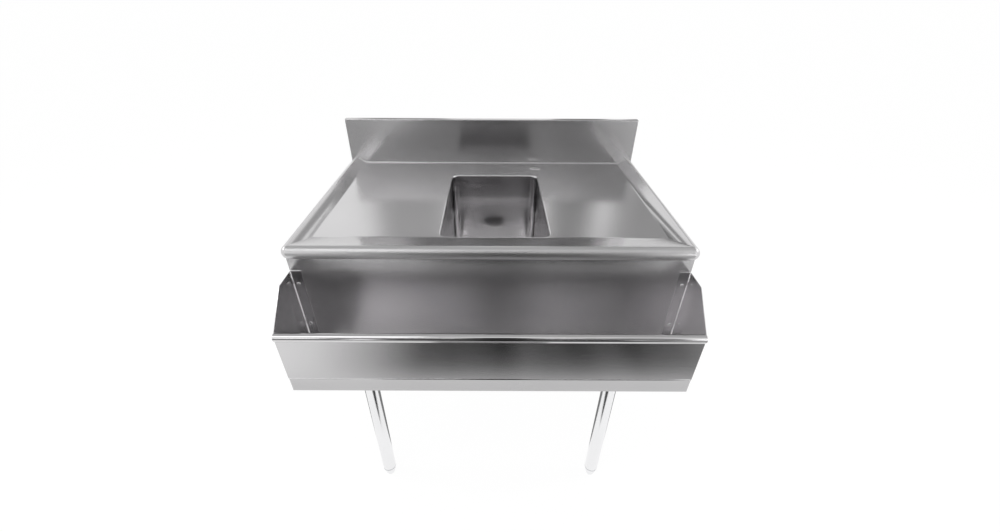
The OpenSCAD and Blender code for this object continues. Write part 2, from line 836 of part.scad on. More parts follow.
// The post stands on the seal, through the basket's floor, with a collar on the floor and a knob on top
module strainer_post() {
    z_floor = z_basket + basket_t;
    color(BRIGHT) translate([bowl_x, y_bowl, 0]) rotate_extrude() polygon([
        [0, z_basket], [post_r, z_basket], [post_r, z_floor], [1.5 * post_r, z_floor],
        [1.5 * post_r, z_floor + post_r], [post_r, z_floor + post_r],
        [post_r, z_floor + post_h - 2 * post_r], [knob_r, z_floor + post_h - post_r],
        [knob_r - 1, z_floor + post_h], [0, z_floor + post_h]
    ]);
}

module strainer_seal() {
    color(RUBBER) translate([bowl_x, y_bowl, z_seal]) cylinder(r = seal_r, h = seal_t);
}

deck_top();
backsplash();
splash_cap(left);  // splash_cap_left
splash_cap(right);  // splash_cap_right
sink_bowl();
bowl_sound_pad();
front_apron();
side_panel(left);  // side_panel_left
side_panel(right);  // side_panel_right
rear_panel();
deck_channel(left);  // deck_channel_left
deck_channel(right);  // deck_channel_right
rail_front();
rail_pan();
rail_end(left);  // rail_end_left
rail_end(right);  // rail_end_right
rail_screws();
rail_nuts();
faucet_hole_cover();
faucet_hole_washer();
faucet_hole_nut();
leg_socket(left, y_leg_front);  // leg_socket_front_left
leg_socket(right, y_leg_front);  // leg_socket_front_right
leg_socket(left, y_leg_rear);  // leg_socket_rear_left
leg_socket(right, y_leg_rear);  // leg_socket_rear_right
leg_set_screws();
leg(left, y_leg_front);  // leg_front_left
leg(right, y_leg_front);  // leg_front_right
leg(left, y_leg_rear);  // leg_rear_left
leg(right, y_leg_rear);  // leg_rear_right
foot_plug(left, y_leg_front);  // foot_plug_front_left
foot_plug(right, y_leg_front);  // foot_plug_front_right
foot_plug(left, y_leg_rear);  // foot_plug_rear_left
foot_plug(right, y_leg_rear);  // foot_plug_rear_right
foot(left, y_leg_front);  // foot_front_left
foot(right, y_leg_front);  // foot_front_right
foot(left, y_leg_rear);  // foot_rear_left
foot(right, y_leg_rear);  // foot_rear_right
drain_body();
drain_gasket();
drain_washer();
drain_locknut();
tailpiece();
tailpiece_washer();
tailpiece_nut();
strainer_basket();
strainer_post();
strainer_seal();
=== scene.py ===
import json
import math

import bmesh
import bpy
from mathutils import Matrix, Vector


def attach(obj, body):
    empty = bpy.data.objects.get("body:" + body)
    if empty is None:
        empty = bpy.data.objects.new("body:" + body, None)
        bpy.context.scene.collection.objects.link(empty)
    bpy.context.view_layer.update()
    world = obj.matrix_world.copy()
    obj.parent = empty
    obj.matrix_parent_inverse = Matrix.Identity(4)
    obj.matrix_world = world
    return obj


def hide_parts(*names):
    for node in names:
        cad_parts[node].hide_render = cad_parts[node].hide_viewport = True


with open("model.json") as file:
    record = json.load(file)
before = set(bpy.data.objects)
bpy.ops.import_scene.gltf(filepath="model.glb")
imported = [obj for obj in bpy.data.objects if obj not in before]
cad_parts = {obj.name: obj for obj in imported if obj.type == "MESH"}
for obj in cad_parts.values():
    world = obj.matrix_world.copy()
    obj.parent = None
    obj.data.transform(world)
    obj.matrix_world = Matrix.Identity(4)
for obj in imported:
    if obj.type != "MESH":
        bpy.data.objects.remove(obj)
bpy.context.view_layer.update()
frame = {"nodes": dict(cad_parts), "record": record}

# ---- Camera ----
# A wide lens close over the front of the unit, a little above the splash and looking down into the bowl.
# The place, the angles and the lens come from matching the unit's corners.
camera_place = (0.0043, -1.0277, 1.3767)
camera_yaw, camera_pitch, camera_roll = (math.radians(a) for a in (0.1, 34.8, 0.3))
camera_lens = bpy.data.cameras.new("camera")
camera_lens.sensor_width = 36.0
camera_lens.lens = 15.39
camera_lens.shift_x = 0.007
camera_lens.shift_y = 0.017
camera = bpy.data.objects.new("camera", camera_lens)
bpy.context.scene.collection.objects.link(camera)
camera.matrix_world = (
    Matrix.Translation(camera_place)
    @ Matrix.Rotation(-camera_yaw, 4, "Z")
    @ Matrix.Rotation(math.pi / 2 - camera_pitch, 4, "X")
    @ Matrix.Rotation(camera_roll, 4, "Z")
)
bpy.context.scene.camera = camera
bpy.context.scene.view_settings.view_transform = "Standard"


# ---- Studio ----
# A pale floor that fades into a white room, lit by large soft lamps. Grey and white cards that only the
# metal sees stand round the unit, as a photographer sets them, and give the polished sheet its tones.
def colour(code):
    """A colour written as an sRGB hex value, as linear red, green, blue and alpha."""
    parts = [int(code[i:i + 2], 16) / 255 for i in (1, 3, 5)]
    return (*[p / 12.92 if p <= 0.04045 else ((p + 0.055) / 1.055) ** 2.4 for p in parts], 1.0)


def add_node(tree, kind, settings=(), links=()):
    """Adds a node. A setting names an input socket, by name or number, or else a property of the node."""
    node = tree.nodes.new(kind)
    for name, value in dict(settings).items():
        if isinstance(name, int) or name in node.inputs:
            node.inputs[name].default_value = value
        else:
            setattr(node, name, value)
    for name, source in dict(links).items():
        tree.links.new(source, node.inputs[name])
    return node


def new_material(name):
    material = bpy.data.materials.new(name)
    material.use_nodes = True
    material.node_tree.nodes.clear()
    return material


def deselect_all():
    bpy.ops.object.select_all(action="DESELECT")


def background_rays(tree):
    """1 for the rays that see the white background: the camera's, and those reflected or let through."""
    path = add_node(tree, "ShaderNodeLightPath")
    seen = add_node(tree, "ShaderNodeMath", {"operation": "MAXIMUM"},
                    {0: path.outputs["Is Camera Ray"], 1: path.outputs["Is Glossy Ray"]})
    return add_node(tree, "ShaderNodeMath", {"operation": "MAXIMUM"},
                    {0: seen.outputs[0], 1: path.outputs["Is Transmission Ray"]}).outputs[0]


room_light, room_white = 0.55, 1.0
world = bpy.data.worlds.new("white_room")
bpy.context.scene.world = world
world.use_nodes = True
world.node_tree.nodes.clear()
strength = add_node(world.node_tree, "ShaderNodeMapRange", {"To Min": room_light, "To Max": room_white},
                    {"Value": background_rays(world.node_tree)})
sky = add_node(world.node_tree, "ShaderNodeBackground", {"Color": colour("#ffffff")},
               {"Strength": strength.outputs[0]})
add_node(world.node_tree, "ShaderNodeOutputWorld", (), {"Surface": sky.outputs[0]})

# The floor glows just enough to come out white, and the matt rest of it keeps a faint shadow.
floor_size, floor_glow, glow_share = 200.0, 1.08, 0.85
floor_paint = new_material("pale_studio_floor")
tree = floor_paint.node_tree
glow = add_node(tree, "ShaderNodeEmission", {"Color": colour("#ffffff"), "Strength": floor_glow})
matt = add_node(tree, "ShaderNodeBsdfDiffuse", {"Color": colour("#fafafa")})
share = add_node(tree, "ShaderNodeMath", {"operation": "MULTIPLY", 1: glow_share}, {0: background_rays(tree)})
both = add_node(tree, "ShaderNodeMixShader", (),
                {0: share.outputs[0], 1: matt.outputs[0], 2: glow.outputs[0]})
add_node(tree, "ShaderNodeOutputMaterial", (), {"Surface": both.outputs[0]})
deselect_all()
bpy.ops.mesh.primitive_plane_add(size=floor_size, location=(0.0, 0.0, 0.0))
floor = bpy.context.object
floor.name = "studio_floor"
floor.data.materials.append(floor_paint)


def soft_lamp(name, place, target, width, depth, power):
    """A rectangular lamp that shines from its place towards the target."""
    lamp = bpy.data.lights.new(name, "AREA")
    lamp.shape = "RECTANGLE"
    lamp.size = width
    lamp.size_y = depth
    lamp.energy = power
    holder = bpy.data.objects.new(name, lamp)
    bpy.context.scene.collection.objects.link(holder)
    direction = Vector(target) - Vector(place)
    turned = direction.to_track_quat("-Z", "Y").to_matrix().to_4x4()
    holder.matrix_world = Matrix.Translation(place) @ turned
    return holder


def studio_card(name, tone, place, tilt, width, height, soft, streaks=0.0):
    """A card with soft edges that only reflections show, white at a tone of 1. Its tone can wander a little,
    in streaks along its height. It isn't sampled as a lamp, which keeps the metal free of noise."""
    paper = new_material(name)
    paper.cycles.emission_sampling = "NONE"
    tree = paper.node_tree
    corner = add_node(tree, "ShaderNodeTexCoord")
    place_on = add_node(tree, "ShaderNodeSeparateXYZ", (), {0: corner.outputs["UV"]})
    fade = []
    for axis, length, edge in (("X", width, soft[0]), ("Y", height, soft[1])):
        off = add_node(tree, "ShaderNodeMath", {"operation": "SUBTRACT", 1: 0.5}, {0: place_on.outputs[axis]})
        off = add_node(tree, "ShaderNodeMath", {"operation": "ABSOLUTE"}, {0: off.outputs[0]})
        fade.append(add_node(tree, "ShaderNodeMapRange", {
            "interpolation_type": "SMOOTHSTEP", "From Min": 0.5, "From Max": 0.5 - edge / length},
            {"Value": off.outputs[0]}))
    cover = add_node(tree, "ShaderNodeMath", {"operation": "MULTIPLY"},
                     {0: fade[0].outputs[0], 1: fade[1].outputs[0]})
    if streaks:
        along = add_node(tree, "ShaderNodeMapping", {"Scale": (width * 5.0, height * 0.4, 1.0)},
                         {"Vector": corner.outputs["UV"]})
        wander = add_node(tree, "ShaderNodeTexNoise", {"Scale": 1.0, "Detail": 2.0},
                          {"Vector": along.outputs[0]})
        gaps = add_node(tree, "ShaderNodeMapRange", {
            "From Min": 0.35, "From Max": 0.65, "To Min": 1.0 - streaks, "To Max": 1.0},
            {"Value": wander.outputs[0]})
        cover = add_node(tree, "ShaderNodeMath", {"operation": "MULTIPLY"},
                         {0: cover.outputs[0], 1: gaps.outputs[0]})
    clear = add_node(tree, "ShaderNodeBsdfTransparent")
    shine = add_node(tree, "ShaderNodeEmission", {"Color": colour("#ffffff"), "Strength": tone})
    both = add_node(tree, "ShaderNodeMixShader", (),
                    {0: cover.outputs[0], 1: clear.outputs[0], 2: shine.outputs[0]})
    add_node(tree, "ShaderNodeOutputMaterial", (), {"Surface": both.outputs[0]})
    deselect_all()
    bpy.ops.mesh.primitive_plane_add(size=1.0, location=place, rotation=[math.radians(a) for a in tilt])
    card = bpy.context.object
    card.name = name
    card.scale = (width, height, 1.0)
    card.data.materials.append(paper)
    for sight in ("camera", "diffuse", "transmission", "volume_scatter", "shadow"):
        setattr(card, f"visible_{sight}", False)


soft_lamp("top_lamp", (-1.3, -1.4, 3.0), (-1.3, -1.4, 0.0), 1.6, 0.6, 4.0)
front_lamp = soft_lamp("front_lamp", (-0.2, -2.8, 2.65), (-0.2, -0.2, 0.8), 2.6, 0.3, 6.5)
# Its reflection comes from the softer front_glow_card instead.
front_lamp.visible_glossy = False
soft_lamp("left_lamp", (-3.2, 0.1, 2.6), (0.0, 0.1, 0.8), 1.0, 0.8, 12.0)
soft_lamp("right_lamp", (3.2, 0.1, 2.6), (0.0, 0.1, 0.8), 1.0, 0.8, 12.0)

upright, lying = (90.0, 0.0, 0.0), (0.0, 0.0, 0.0)
# Behind the unit and over it, mostly for the drainboard and the bowl
studio_card("back_left_card", 0.34, (-0.715, 2.5, 2.7), upright, 0.87, 3.6, (0.2, 0.2), streaks=0.2)
studio_card("back_middle_card", 0.18, (0.7, 2.5, 2.7), upright, 0.5, 3.6, (0.08, 0.2), streaks=0.2)
studio_card("back_right_card", 0.3, (1.68, 2.5, 2.9), upright, 1.3, 3.2, (0.1, 0.1), streaks=0.2)
studio_card("low_left_card", 0.1, (-1.6, 2.4, 0.35), upright, 1.4, 0.9, (0.15, 0.15))
studio_card("upper_card", 0.5, (-0.3, 0.55, 3.4), lying, 5.4, 4.1, (0.3, 0.3))
# In front, mostly for the splash, the rim, the apron and the bead
studio_card("front_glow_card", 2.6, (-0.3, -2.74, 2.55), upright, 3.0, 0.42, (0.5, 0.12))
studio_card("front_card", 0.06, (0.2, -2.75, 1.85), upright, 3.6, 1.2, (0.15, 0.1), streaks=0.2)
studio_card("high_front_card", 0.05, (0.55, -2.75, 3.33), upright, 2.9, 1.3, (0.15, 0.1), streaks=0.2)
studio_card("low_front_left_card", 0.2, (-1.9, -2.6, 0.65), upright, 1.9, 1.3, (0.2, 0.05), streaks=0.2)
studio_card("low_front_right_card", 0.2, (1.9, -2.6, 0.65), upright, 1.9, 1.3, (0.2, 0.05), streaks=0.2)
studio_card("low_front_card", 0.04, (0.1, -2.7, 0.65), upright, 2.2, 1.3, (0.25, 0.1))
studio_card("left_fill_card", 2.0, (-0.92, -1.0, 0.985), upright, 0.8, 0.16, (0.15, 0.03))
studio_card("right_fill_card", 3.2, (0.95, -1.0, 0.985), upright, 0.55, 0.24, (0.1, 0.04))
studio_card("middle_card", 0.03, (0.05, -1.35, 0.9), upright, 0.5, 1.7, (0.2, 0.2))
# On the floor, mostly for the rail's panel and its lower band
studio_card("floor_card", 0.01, (0.3, -1.75, 0.004), lying, 2.6, 1.64, (0.8, 0.08), streaks=0.1)
studio_card("far_floor_card", 0.04, (-1.45, -2.0, 0.004), lying, 2.0, 1.0, (0.2, 0.2))
studio_card("band_card", 0.6, (0.0, -0.84, 0.004), lying, 2.2, 0.18, (0.1, 0.03))
studio_card("near_card", 0.05, (0.0, -0.55, 0.004), lying, 0.5, 0.34, (0.06, 0.06))
# A dark card under the unit, seen only in reflections, is painted shadow: it stands in for the unit's shade
# on the floor.
studio_card("painted_shadow_card", 0.2, (0.0, 0.2, 0.004), lying, 1.6, 0.6, (0.05, 0.05))


# ---- Drainboard ----
# One pressing of 1.5 mm stainless sheet: a rolled rim on three sides, slopes mitred into each other at the
# corners, and a flat floor cut out for the bowl. Polished along its length, so reflections spread across it.
merge_gap = 0.00001
# How far from a line or a plane a vertex still counts as on it, for close and for loose picks
on_line, on_plane = 0.0001, 0.001


def start_point(name, point):
    """A mesh of one vertex, left in edit mode with it selected."""
    deselect_all()
    bpy.ops.mesh.primitive_plane_add(size=0.01, location=point)
    bpy.context.object.name = name
    bpy.ops.object.transform_apply()
    bpy.ops.object.mode_set(mode="EDIT")
    bpy.ops.mesh.select_mode(type="VERT")
    bpy.ops.mesh.merge(type="CENTER")


def draw_on(points):
    """Draws the selected vertex on from the first point through all the others."""
    for here, there in zip(points, points[1:]):
        bpy.ops.mesh.extrude_vertices_move(
            TRANSFORM_OT_translate={"value": tuple(Vector(there) - Vector(here))})


def pull(x, y, z):
    """Extrudes what is selected."""
    bpy.ops.mesh.extrude_region_move(TRANSFORM_OT_translate={"value": (x, y, z)})


def pick(kind, test):
    """In edit mode, selects only those verts, edges or faces that pass the test."""
    bpy.ops.mesh.select_all(action="DESELECT")
    bpy.ops.mesh.select_mode(type={"verts": "VERT", "edges": "EDGE", "faces": "FACE"}[kind])
    mesh = bmesh.from_edit_mesh(bpy.context.object.data)
    for part in getattr(mesh, kind):
        if test(part):
            part.select_set(True)
    bmesh.update_edit_mesh(bpy.context.object.data)


def runs_along(edge, axis):
    """Whether an edge runs along an axis: 0, 1 or 2 for X, Y or Z."""
    return abs((edge.verts[0].co - edge.verts[1].co).normalized()[axis]) > 0.9


def face_towards(direction=None, near=None):
    """Merges doubles and turns all faces alike: outwards on a solid, and on open sheet so that the face
    nearest a point looks in a direction."""
    bpy.ops.mesh.select_mode(type="VERT")
    bpy.ops.mesh.select_all(action="SELECT")
    bpy.ops.mesh.remove_doubles(threshold=merge_gap)
    bpy.ops.mesh.normals_make_consistent(inside=False)
    if direction:
        mesh = bmesh.from_edit_mesh(bpy.context.object.data)
        nearest = min(mesh.faces, key=lambda f: (f.calc_center_median() - Vector(near)).length)
        if nearest.normal.dot(Vector(direction)) < 0:
            bpy.ops.mesh.flip_normals()


def apply_modifier(piece, kind, **settings):
    modifier = piece.modifiers.new(kind.lower(), kind)
    for name, value in settings.items():
        setattr(modifier, name, value)
    bpy.context.view_layer.objects.active = piece
    bpy.ops.object.modifier_apply(modifier=modifier.name)


def finish_metal(piece, wall=0.0, edge=0.0, smooth=40.0):
    """Leaves edit mode, gives a sheet its wall and every edge its small round, and shades the faces."""
    if bpy.context.mode != "OBJECT":
        bpy.ops.object.mode_set(mode="OBJECT")
    deselect_all()
    piece.select_set(True)
    bpy.context.view_layer.objects.active = piece
    if wall:
        apply_modifier(piece, "SOLIDIFY", thickness=wall, offset=-1.0)
    if edge:
        apply_modifier(piece, "BEVEL", width=edge, segments=2, limit_method="ANGLE",
                       angle_limit=math.radians(60))
    bpy.ops.object.shade_smooth_by_angle(angle=math.radians(smooth))
    apply_modifier(piece, "WEIGHTED_NORMAL", keep_sharp=True, weight=60)


def cut_out(piece, cutter):
    """Cuts the cutter's shape out of the piece and takes the cutter away."""
    if bpy.context.mode != "OBJECT":
        bpy.ops.object.mode_set(mode="OBJECT")
    apply_modifier(piece, "BOOLEAN", operation="DIFFERENCE", solver="EXACT", object=cutter)
    bpy.data.objects.remove(cutter)


def stainless(name, code, roughness, spread, axis, wave=0.0016, grain=(6.0, 420.0, 420.0)):
    """Stainless sheet or tube, polished with a belt along the grain. The belt's lines spread a reflection
    across them, the sheet isn't quite flat, and cleaning leaves faint cloudy marks."""
    material = new_material(name)
    tree = material.node_tree
    place = add_node(tree, "ShaderNodeTexCoord")
    along = add_node(tree, "ShaderNodeMapping", {"Scale": grain}, {"Vector": place.outputs["Object"]})
    lines = add_node(tree, "ShaderNodeTexNoise", {"Scale": 1.0, "Detail": 4.0, "Roughness": 0.6},
                     {"Vector": along.outputs[0]})
    clouds = add_node(tree, "ShaderNodeTexNoise", {"Scale": 5.0, "Detail": 3.0, "Roughness": 0.5},
                      {"Vector": place.outputs["Object"]})
    bent = add_node(tree, "ShaderNodeTexNoise", {"Scale": 3.0, "Detail": 0.0},
                    {"Vector": place.outputs["Object"]})
    low = tuple(c * 0.93 for c in colour(code)[:3]) + (1.0,)
    high = tuple(min(1.0, c * 1.07) for c in colour(code)[:3]) + (1.0,)
    tone = add_node(tree, "ShaderNodeMix", {"data_type": "RGBA", 6: low, 7: high}, {0: clouds.outputs[0]})
    rough = add_node(tree, "ShaderNodeMapRange", {
        "From Min": 0.3, "From Max": 0.7, "To Min": roughness * 0.96, "To Max": roughness * 1.04},
        {"Value": lines.outputs[0]})
    dents = add_node(tree, "ShaderNodeBump", {"Strength": 0.5, "Distance": wave}, {"Height": bent.outputs[0]})
    turn_to = add_node(tree, "ShaderNodeTangent", {"direction_type": "RADIAL", "axis": axis})
    metal = add_node(tree, "ShaderNodeBsdfPrincipled", {"Metallic": 1.0, "Anisotropic": spread},
                     {"Base Color": tone.outputs[2], "Roughness": rough.outputs[0],
                      "Normal": dents.outputs[0], "Tangent": turn_to.outputs[0]})
    add_node(tree, "ShaderNodeOutputMaterial", (), {"Surface": metal.outputs[0]})
    return material


sheet = 0.0015
rim_z, deck_z = 0.914, 0.898
crest_x, flat_x = 0.441, 0.411
splash_y, crest_y, flat_y = 0.3535, -0.2215, -0.1535
roll_r, rim_lip = 0.016, 0.012
board_bend = 0.003
# Smooths the bends and the roll, and keeps the mitres and the crest of the slopes sharp
mitre_smooth = 28.0

# The board's satin blurs the room into broad soft bands.
board_steel = stainless("brushed_stainless_board", "#d3d2d3", 0.18, 0.6, "X")
# The rim is dulled where the roll was blended, so its highlights run wide and soft.
rim_steel = stainless("brushed_stainless_rim", "#d3d2d3", 0.35, 0.4, "X")

deselect_all()
bpy.ops.mesh.primitive_plane_add(size=1.0, location=(0.0, (splash_y + flat_y) / 2, deck_z))
drainboard = bpy.context.object
drainboard.name = "drainboard"
drainboard.scale = (2 * flat_x, splash_y - flat_y, 1.0)
bpy.ops.object.transform_apply()
bpy.ops.object.mode_set(mode="EDIT")
pick("edges", lambda e: any(v.co.y < splash_y - on_plane for v in e.verts))
pull(0.0, 0.0, rim_z - deck_z)
bpy.ops.transform.resize(
    value=(crest_x / flat_x, (splash_y - crest_y) / (splash_y - flat_y), 1.0),
    center_override=(0.0, splash_y, deck_z))
pick("edges", lambda e: all(v.co.z < deck_z + on_plane for v in e.verts)
     and any(v.co.y < splash_y - on_plane for v in e.verts))
bpy.ops.mesh.bevel(offset=board_bend, segments=4, affect="EDGES")
bpy.ops.object.mode_set(mode="OBJECT")

start_point("rim_roll", (-crest_x, splash_y, rim_z))
bpy.ops.mesh.spin(steps=14, angle=math.pi, center=(-crest_x, splash_y, rim_z - roll_r), axis=(0.0, 1.0, 0.0))
bpy.ops.mesh.select_all(action="SELECT")
pull(0.0, crest_y - splash_y, 0.0)
bpy.ops.mesh.spin(steps=10, angle=math.pi / 2, center=(-crest_x, crest_y, 0.0), axis=(0.0, 0.0, -1.0))
pull(2 * crest_x, 0.0, 0.0)
bpy.ops.mesh.spin(steps=10, angle=math.pi / 2, center=(crest_x, crest_y, 0.0), axis=(0.0, 0.0, -1.0))
pull(0.0, splash_y - crest_y, 0.0)
bpy.ops.mesh.select_all(action="SELECT")
bpy.ops.mesh.remove_doubles(threshold=merge_gap)
pick("edges", lambda e: e.is_boundary and all(v.co.z < rim_z - 2 * roll_r + on_line for v in e.verts))
pull(0.0, 0.0, 0.0)
bpy.ops.transform.resize(
    value=((crest_x - rim_lip) / crest_x, (splash_y - crest_y - rim_lip) / (splash_y - crest_y), 1.0),
    center_override=(0.0, splash_y, rim_z))
bpy.ops.object.mode_set(mode="OBJECT")
rim_roll = bpy.context.object
rim_roll.data.materials.append(rim_steel)
drainboard.data.materials.append(board_steel)
deselect_all()
rim_roll.select_set(True)
drainboard.select_set(True)
bpy.context.view_layer.objects.active = drainboard
bpy.ops.object.join()
bpy.ops.object.mode_set(mode="EDIT")
face_towards((0.0, 0.0, 1.0), near=(0.0, 0.1, deck_z))
finish_metal(drainboard, wall=sheet, smooth=mitre_smooth)

# ---- Bowl ----
# Deep drawn from one sheet, with round corners and a coved floor. Its edge is welded into the drainboard
# and ground flush, which leaves a soft bright edge all round.
bowl_x, bowl_y = 0.010, 0.0455
bowl_w, bowl_l = 0.256, 0.390
bowl_floor, bowl_r, bowl_wall = 0.644, 0.019, 0.0012
edge_r, edge_steps = 0.004, 6
corner_steps, round_steps = 8, 64
drain_hole = 0.0443
# Enough to cut through any one sheet
cut_depth = 0.02

deselect_all()
bpy.ops.mesh.primitive_cube_add(size=1.0, location=(bowl_x, bowl_y, deck_z))
opening = bpy.context.object
opening.scale = (bowl_w + 2 * edge_r, bowl_l + 2 * edge_r, cut_depth)
bpy.ops.object.transform_apply()
bpy.ops.object.mode_set(mode="EDIT")
pick("edges", lambda e: runs_along(e, 2))
bpy.ops.mesh.bevel(offset=bowl_r + edge_r, segments=corner_steps, affect="EDGES")
cut_out(drainboard, opening)
finish_metal(drainboard, smooth=mitre_smooth)
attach(drainboard, "unit")
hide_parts("deck_top")

deselect_all()
bpy.ops.mesh.primitive_cube_add(size=1.0, location=(bowl_x, bowl_y, (deck_z + bowl_floor) / 2))
bowl = bpy.context.object
bowl.name = "bowl"
bowl.scale = (bowl_w, bowl_l, deck_z - bowl_floor)
bpy.ops.object.transform_apply()
bpy.ops.object.mode_set(mode="EDIT")
pick("faces", lambda f: f.normal.z > 0.9)
bpy.ops.mesh.delete(type="FACE")
pick("edges", lambda e: not all(v.co.z > deck_z - on_plane for v in e.verts))
bpy.ops.mesh.bevel(offset=bowl_r, segments=corner_steps, affect="EDGES")
pick("verts", lambda v: v.co.z > deck_z - on_plane)
bpy.ops.transform.translate(value=(0.0, 0.0, -edge_r))
pick("edges", lambda e: e.is_boundary)
reach, height = 0.0, -edge_r
for step in range(1, edge_steps + 1):
    angle = math.pi / 2 * step / edge_steps
    new_reach, new_height = edge_r * (1 - math.cos(angle)), edge_r * (math.sin(angle) - 1)
    pull(0.0, 0.0, new_height - height)
    wider = (bowl_w / 2 + new_reach) / (bowl_w / 2 + reach)
    longer = (bowl_l / 2 + new_reach) / (bowl_l / 2 + reach)
    bpy.ops.transform.resize(value=(wider, longer, 1.0), center_override=(bowl_x, bowl_y, deck_z))
    reach, height = new_reach, new_height
face_towards((0.0, 0.0, 1.0), near=(bowl_x, bowl_y, bowl_floor))
finish_metal(bowl, wall=bowl_wall)
deselect_all()
bpy.ops.mesh.primitive_cylinder_add(vertices=round_steps, radius=drain_hole, depth=cut_depth,
                                    location=(bowl_x, bowl_y, bowl_floor))
cut_out(bowl, bpy.context.object)
finish_metal(bowl)
# The bowl is smoother than the board: dark walls with soft bright corners.
bowl_steel = stainless("polished_stainless_bowl", "#d8d7d8", 0.15, 0.4, "Z")
bowl.data.materials.append(bowl_steel)
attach(bowl, "unit")
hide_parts("sink_bowl")


# ---- Splash ----
# One sheet folded back at the top and down again at the wall, and welded to the drainboard with a small
# ground cove. The plates that close its ends keep the frame's own shapes.
edge_round = 0.0003
bend_steps = 5


def fold_sheet(name, outline, x0, x1, radius, towards):
    """Sheet folded along an outline of (y, z) points, from x0 to x1, with round bends. The outline is the
    side of the sheet that looks in the direction given at its first stretch."""
    points = [(x0, y, z) for y, z in outline]
    start_point(name, points[0])
    draw_on(points)
    bpy.ops.mesh.select_all(action="SELECT")
    pull(x1 - x0, 0.0, 0.0)
    if len(points) > 2:
        pick("edges", lambda e: len(e.link_faces) == 2 and runs_along(e, 0))
        bpy.ops.mesh.bevel(offset=radius, segments=bend_steps, affect="EDGES")
    first = (Vector(points[0]) + Vector(points[1])) / 2
    face_towards(towards, near=((x0 + x1) / 2, first.y, first.z))
    piece = bpy.context.object
    finish_metal(piece, wall=sheet, edge=edge_round)
    return piece


side_x, wall_y, splash_z, hem_z, skirt_z = 0.457, 0.3725, 1.035, 1.0215, 0.8834
splash_bend = 0.003
# The splash shows dark and pale upright bands with blurred edges.
upright_steel = stainless("brushed_stainless_upright", "#d3d2d3", 0.2, 0.6, "X")
splash = fold_sheet(
    "splash", [(splash_y, skirt_z), (splash_y, splash_z), (wall_y, splash_z), (wall_y, hem_z)],
    -side_x, side_x, splash_bend, (0.0, -1.0, 0.0))
splash.data.materials.append(upright_steel)
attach(splash, "unit")
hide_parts("backsplash")

# Ground and buffed welds, screw heads and the hole's cover give small clear glints.
polished_steel = stainless("polished_stainless_weld", "#dad9da", 0.16, 0.3, "Z", wave=0.0004)
cove_r, cove_steps = 0.003, 6
cove = [(-crest_x, splash_y - cove_r * (1 - math.sin(a)), rim_z + cove_r * (1 - math.cos(a)))
        for a in (math.pi / 2 * i / cove_steps for i in range(cove_steps + 1))]
start_point("splash_weld", cove[0])
draw_on(cove)
bpy.ops.mesh.select_all(action="SELECT")
pull(crest_x - flat_x, 0.0, deck_z - rim_z)
pull(2 * flat_x, 0.0, 0.0)
pull(crest_x - flat_x, 0.0, rim_z - deck_z)
face_towards((0.0, -1.0, 1.0), near=(0.0, splash_y, deck_z))
splash_weld = bpy.context.object
finish_metal(splash_weld)
splash_weld.data.materials.append(polished_steel)
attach(splash_weld, "unit")


# ---- Apron ----
# A flat sheet of stainless spot-welded under the rim, polished along its length. Its lower edge is folded
# in behind it. The side and rear panels keep the frame's own shapes.
apron_y, apron_z, apron_low, apron_fold = -0.2275, 0.88265, 0.616, 0.018
apron_bend = 0.0025
panel_x = 0.449
# The apron's steel is painted lighter than the board's: painted light that keeps it from going black where
# the rim and the rail shade it.
apron_steel = stainless("stainless_apron_painted_lighter", "#e8e7e8", 0.21, 0.5, "X")
apron = fold_sheet("apron", [(apron_y, apron_z), (apron_y, apron_low), (apron_y + apron_fold, apron_low)],
                   -panel_x, panel_x, apron_bend, (0.0, -1.0, 0.0))
apron.data.materials.append(apron_steel)
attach(apron, "unit")
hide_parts("front_apron")

# ---- Bottle rail ----
# The front panel's top edge swells out in front of it and rolls back over into an open, polished bead. The
# pan behind it is folded down in front, under the panel, and down again on the apron. End brackets, notched
# round the bead, are screwed to the apron.
rail_y, pan_z, band_z = -0.3675, 0.657, 0.616
bead_z, bead_r, bead_out, bead_turn = 0.775, 0.0095, 0.005, 301.7
bead_y = rail_y - bead_out + bead_r
neck_z = bead_z - math.sqrt(bead_r ** 2 - (bead_y - rail_y) ** 2)
neck_bend = 0.0014
pan_bend, pan_flange, pan_gap = 0.003, 0.028, 0.0001
# A fine satin shows light and dark bands across the panel.
rail_steel = stainless("brushed_stainless_rail", "#d3d2d3", 0.16, 0.6, "X")
# The bead is rubbed bright by the rollers: one crisp white line over a dark one.
bead_steel = stainless("polished_stainless_bead", "#dad9da", 0.1, 0.3, "X", wave=0.0004)
# The pan and the brackets are nearly clear mirrors of each other and of the apron. Their steel is painted
# lighter than the board's, a painted light like the apron's.
pan_steel = stainless("stainless_pan_painted_lighter", "#e8e7e8", 0.12, 0.5, "X")
start_point("rail_front", (-panel_x, rail_y, pan_z))
draw_on([(0.0, 0.0, pan_z), (0.0, 0.0, neck_z)])
bpy.ops.mesh.spin(steps=26, angle=math.radians(bead_turn), center=(-panel_x, bead_y, bead_z),
                  axis=(1.0, 0.0, 0.0))
bpy.ops.mesh.select_all(action="SELECT")
bpy.ops.mesh.remove_doubles(threshold=merge_gap)
pull(2 * panel_x, 0.0, 0.0)
neck = Vector((0.0, rail_y, neck_z))
pick("edges", lambda e: all((neck - Vector((0.0, *v.co[1:]))).length < on_line for v in e.verts))
bpy.ops.mesh.bevel(offset=neck_bend, segments=4, affect="EDGES")
face_towards((0.0, -1.0, 0.0), near=(0.0, rail_y, (pan_z + bead_z) / 2))
rail_front = bpy.context.object
finish_metal(rail_front, wall=sheet, edge=edge_round)
rail_front.data.materials.append(rail_steel)
rail_front.data.materials.append(bead_steel)
for face in rail_front.data.polygons:
    face.material_index = int(face.center.z > neck_z)
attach(rail_front, "unit")
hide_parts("rail_front")

